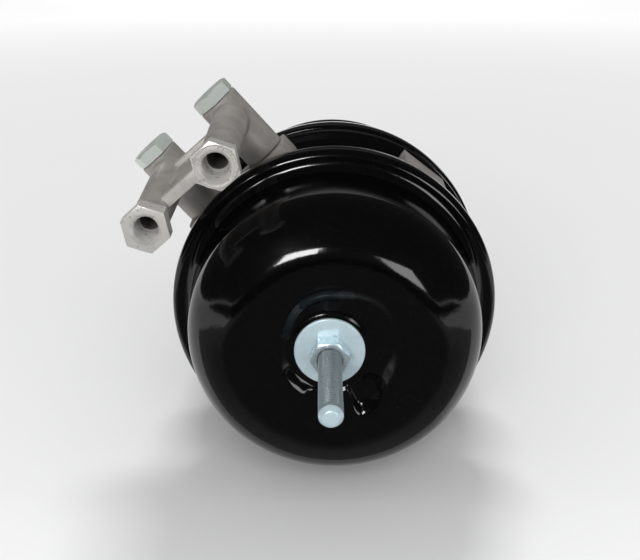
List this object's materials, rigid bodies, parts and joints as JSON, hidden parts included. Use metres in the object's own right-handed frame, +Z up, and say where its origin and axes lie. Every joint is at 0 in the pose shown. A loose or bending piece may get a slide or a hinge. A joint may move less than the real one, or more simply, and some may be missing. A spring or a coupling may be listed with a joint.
{
  "type": "spring brake cylinder",
  "caption": "Air brake cylinder with a spring parking chamber and a service chamber on one cast flange, a side port block and a threaded release bolt.",
  "frame": {"origin": "centre of the face that bolts to the brake, on the cylinder's axis", "axes": "+Y along the axis out of the bolting face, in the direction that the push rod moves; +Z up; the port block is at the upper left for someone who looks along +Y at the release bolt"},
  "size_m": [0.2067, 0.313, 0.2139],
  "materials": {
    "black_paint": "gloss black paint over steel",
    "black_cast": "gloss black paint over a cast body",
    "cast_aluminium": "bare casting with machined port faces",
    "zinc_plate": "bluish bright zinc plate",
    "spring_steel": "dark coated spring wire",
    "plain_steel": "plain pressed steel",
    "rubber": "matt black moulded rubber",
    "plastic": "matt black moulded plastic"
  },
  "bodies": {
    "cylinder": {"banjo_bolt_lower": "zinc_plate", "banjo_bolt_upper": "zinc_plate", "flange_body": "black_cast", "guide_bush": "plastic", "parking_rod": "plain_steel", "port_block": "cast_aluminium", "power_spring": "spring_steel", "pressure_plate": "plain_steel", "release_bolt": "zinc_plate", "release_nut": "zinc_plate", "release_washer": "zinc_plate", "return_spring": "spring_steel", "rod_cap": "plastic", "rod_gaiter": "rubber", "rod_seal_front": "rubber", "rod_seal_rear": "rubber", "service_diaphragm": "rubber", "service_housing": "black_paint", "spring_diaphragm": "rubber", "spring_housing": "black_paint", "stud_left": "zinc_plate", "stud_right": "zinc_plate", "vent_plug_lower_right": "plastic", "vent_plug_upper_left": "plastic", "vent_plug_upper_right": "plastic"},
    "push_rod": {"push_plate": "plain_steel", "push_rod": "zinc_plate"}
  },
  "joints": [
    {"name": "push_rod_slide", "type": "slide", "parent": "cylinder", "child": "push_rod", "axis": [0, 1, 0], "range_m": [0, 0.057], "deforming": ["return_spring", "service_diaphragm", "rod_gaiter"]}
  ]
}
